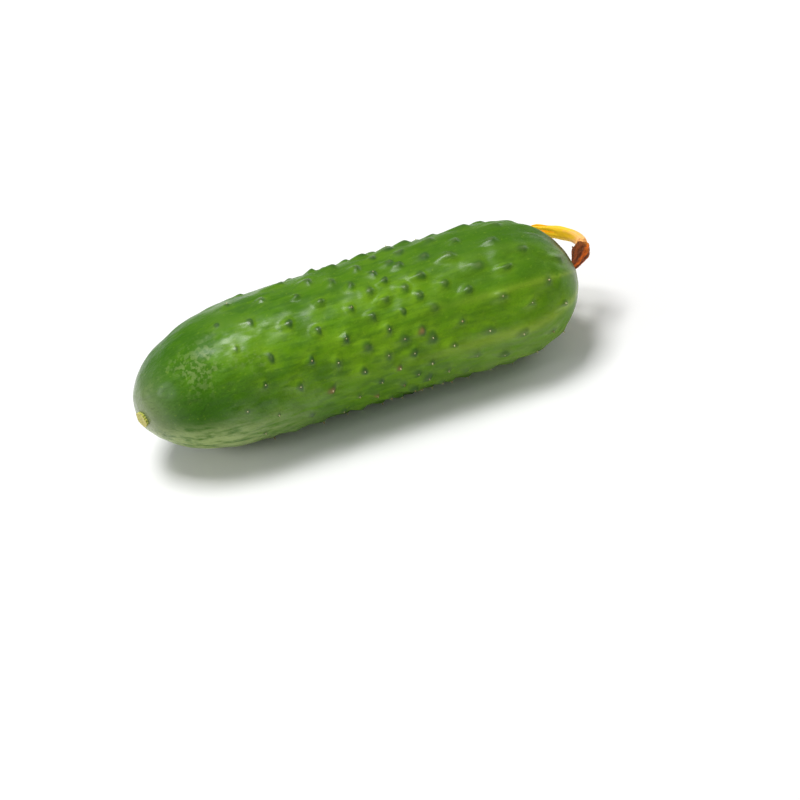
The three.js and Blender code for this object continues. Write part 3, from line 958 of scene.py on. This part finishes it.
class CUCUMBER_OT_fruit(bpy.types.Operator):
    """Make the green fruit with its ridges and warts"""

    bl_idname = "cucumber.fruit"
    bl_label = "Fruit"
    bl_options = {"REGISTER", "UNDO"}

    def execute(self, context):
        fruit, flower = context.scene.cucumber_fruit, context.scene.cucumber_flower
        put("fruit_skin", fruit_mesh(fruit, flower), skin_finish(fruit), "fruit_skin", "fruit")
        return {"FINISHED"}


class CUCUMBER_OT_spines(bpy.types.Operator):
    """Make the spines on the warts"""

    bl_idname = "cucumber.spines"
    bl_label = "Spines"
    bl_options = {"REGISTER", "UNDO"}

    def execute(self, context):
        fruit = context.scene.cucumber_fruit
        put("spines", spine_mesh(fruit), spine_finish(fruit), "fruit_skin")
        return {"FINISHED"}


class CUCUMBER_OT_stem_stub(bpy.types.Operator):
    """Make the stump of the stalk"""

    bl_idname = "cucumber.stem_stub"
    bl_label = "Stalk stump"
    bl_options = {"REGISTER", "UNDO"}

    def execute(self, context):
        fruit = context.scene.cucumber_fruit
        put("stem_stub_skin", stub_mesh(fruit), stub_finish(fruit), "stalk", "stem_stub")
        return {"FINISHED"}


class CUCUMBER_OT_flower_base(bpy.types.Operator):
    """Make the dried base of the flower with its sepals and hairs"""

    bl_idname = "cucumber.flower_base"
    bl_label = "Flower base"
    bl_options = {"REGISTER", "UNDO"}

    def execute(self, context):
        fruit, flower = context.scene.cucumber_fruit, context.scene.cucumber_flower
        base = base_mesh(fruit, flower)
        put("flower_base_skin", base, base_finish(flower), "dried_flower", "flower_base")
        dry = dry_finish(flower)
        put("sepals", sepal_mesh(fruit, flower), dry, "dried_flower")
        put("flower_hairs", hair_mesh(fruit, flower), dry, "dried_flower")
        return {"FINISHED"}


class CUCUMBER_OT_corolla(bpy.types.Operator):
    """Make the withered petals"""

    bl_idname = "cucumber.corolla"
    bl_label = "Petals"
    bl_options = {"REGISTER", "UNDO"}

    def execute(self, context):
        fruit, flower = context.scene.cucumber_fruit, context.scene.cucumber_flower
        put("corolla_petals", corolla_mesh(fruit, flower), petal_finish(flower), "petal", "corolla")
        return {"FINISHED"}


class CUCUMBER_OT_stage(bpy.types.Operator):
    """Make the floor, the camera and the studio light"""

    bl_idname = "cucumber.stage"
    bl_label = "Stage"
    bl_options = {"REGISTER", "UNDO"}

    def execute(self, context):
        stage = context.scene.cucumber_stage
        self.lay_floor(context.scene, stage)
        self.aim_camera(context.scene, stage)
        self.light(context.scene, stage)
        return {"FINISHED"}

    def lay_floor(self, scene, stage):
        """A plain pale square, just below the fruit."""
        half, drop = 2.0, -0.02 * MM
        corners = [(-half, -half, drop), (half, -half, drop), (half, half, drop), (-half, half, drop)]
        mesh = bpy.data.meshes.new("floor")
        mesh.from_pydata(corners, [], [(0, 1, 2, 3)])
        floor = bpy.data.objects.new("floor", mesh)
        scene.collection.objects.link(floor)
        finish = Finish("plain_floor", {"Base Color": stage.floor, "Roughness": 0.8})
        mesh.materials.append(finish.material)

    def aim_camera(self, scene, stage):
        """Looks at a point right of and below the fruit's middle, from the set direction and distance."""
        level = math.cos(stage.elevation)
        sideways = Vector((math.cos(stage.azimuth), math.sin(stage.azimuth), 0))
        back = Vector((
            math.sin(stage.azimuth) * level, -math.cos(stage.azimuth) * level, math.sin(stage.elevation)))
        upward = back.cross(sideways)
        right = sideways * math.cos(stage.roll) - upward * math.sin(stage.roll)
        up = sideways * math.sin(stage.roll) + upward * math.cos(stage.roll)
        middle = Vector((0, 0, scene.cucumber_fruit.radius))
        aim = middle + right * stage.aim_right - up * stage.aim_down
        camera = bpy.data.objects.new("camera", bpy.data.cameras.new("camera"))
        camera.data.lens = stage.lens
        camera.data.clip_start = 0.01
        turn = Matrix((right, up, back)).transposed().to_4x4()
        camera.matrix_world = Matrix.Translation(aim + back * stage.distance) @ turn
        scene.collection.objects.link(camera)
        scene.camera = camera

    def light(self, scene, stage):
        """White surroundings and three soft lights: overhead, beside the stalk and behind the flower."""
        scene.view_settings.view_transform = "Standard"
        scene.world = bpy.data.worlds.new("studio")
        scene.world.use_nodes = True
        background = scene.world.node_tree.nodes["Background"]
        background.inputs["Color"].default_value = (1, 1, 1, 1)
        background.inputs["Strength"].default_value = stage.sky
        self.hang_lamp(scene, "overhead", stage.key, place=(-0.14, 0.12, 0.87), size=0.36)
        self.hang_lamp(scene, "beside", stage.side, place=(-0.75, -0.1, 0.42), size=0.3)
        self.hang_lamp(scene, "behind", stage.rim, place=(0.6, 0.35, 0.2), size=0.4)

    def hang_lamp(self, scene, name, power, place, size):
        """A square soft light of this size at this place in metres, turned to the fruit."""
        lamp = bpy.data.lights.new(name, "AREA")
        lamp.size = size
        lamp.energy = power
        hung = bpy.data.objects.new(name, lamp)
        hung.location = place
        hung.rotation_euler = (-Vector(place)).to_track_quat("-Z", "Y").to_euler()
        scene.collection.objects.link(hung)


SETTINGS = {
    "cucumber_fruit": CucumberFruit,
    "cucumber_flower": CucumberFlower,
    "cucumber_stage": CucumberStage,
}
OPERATORS = (
    CUCUMBER_OT_stage, CUCUMBER_OT_fruit, CUCUMBER_OT_spines, CUCUMBER_OT_stem_stub,
    CUCUMBER_OT_flower_base, CUCUMBER_OT_corolla,
)


class CUCUMBER_PT_panel(bpy.types.Panel):
    """Sidebar panel that lists the pieces and their settings"""

    bl_label = "Cucumber"
    bl_space_type = "VIEW_3D"
    bl_region_type = "UI"
    bl_category = "Cucumber"

    def draw(self, context):
        for operator in OPERATORS:
            self.layout.operator(operator.bl_idname)
        for name, group in SETTINGS.items():
            box = self.layout.box()
            for setting in group.__annotations__:
                box.prop(getattr(context.scene, name), setting)


def register():
    """Registers the settings, the operators and the panel."""
    for name, group in SETTINGS.items():
        bpy.utils.register_class(group)
        setattr(bpy.types.Scene, name, bpy.props.PointerProperty(type=group))
    for operator in OPERATORS:
        bpy.utils.register_class(operator)
    bpy.utils.register_class(CUCUMBER_PT_panel)


def unregister():
    """Takes back what register did, in the opposite order."""
    bpy.utils.unregister_class(CUCUMBER_PT_panel)
    for operator in reversed(OPERATORS):
        bpy.utils.unregister_class(operator)
    for name, group in reversed(SETTINGS.items()):
        delattr(bpy.types.Scene, name)
        bpy.utils.unregister_class(group)


def main():
    """Registers the add-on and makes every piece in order."""
    register()
    bpy.ops.cucumber.stage()
    bpy.ops.cucumber.fruit()
    bpy.ops.cucumber.spines()
    bpy.ops.cucumber.stem_stub()
    bpy.ops.cucumber.flower_base()
    bpy.ops.cucumber.corolla()


if __name__ == "__main__":
    main()
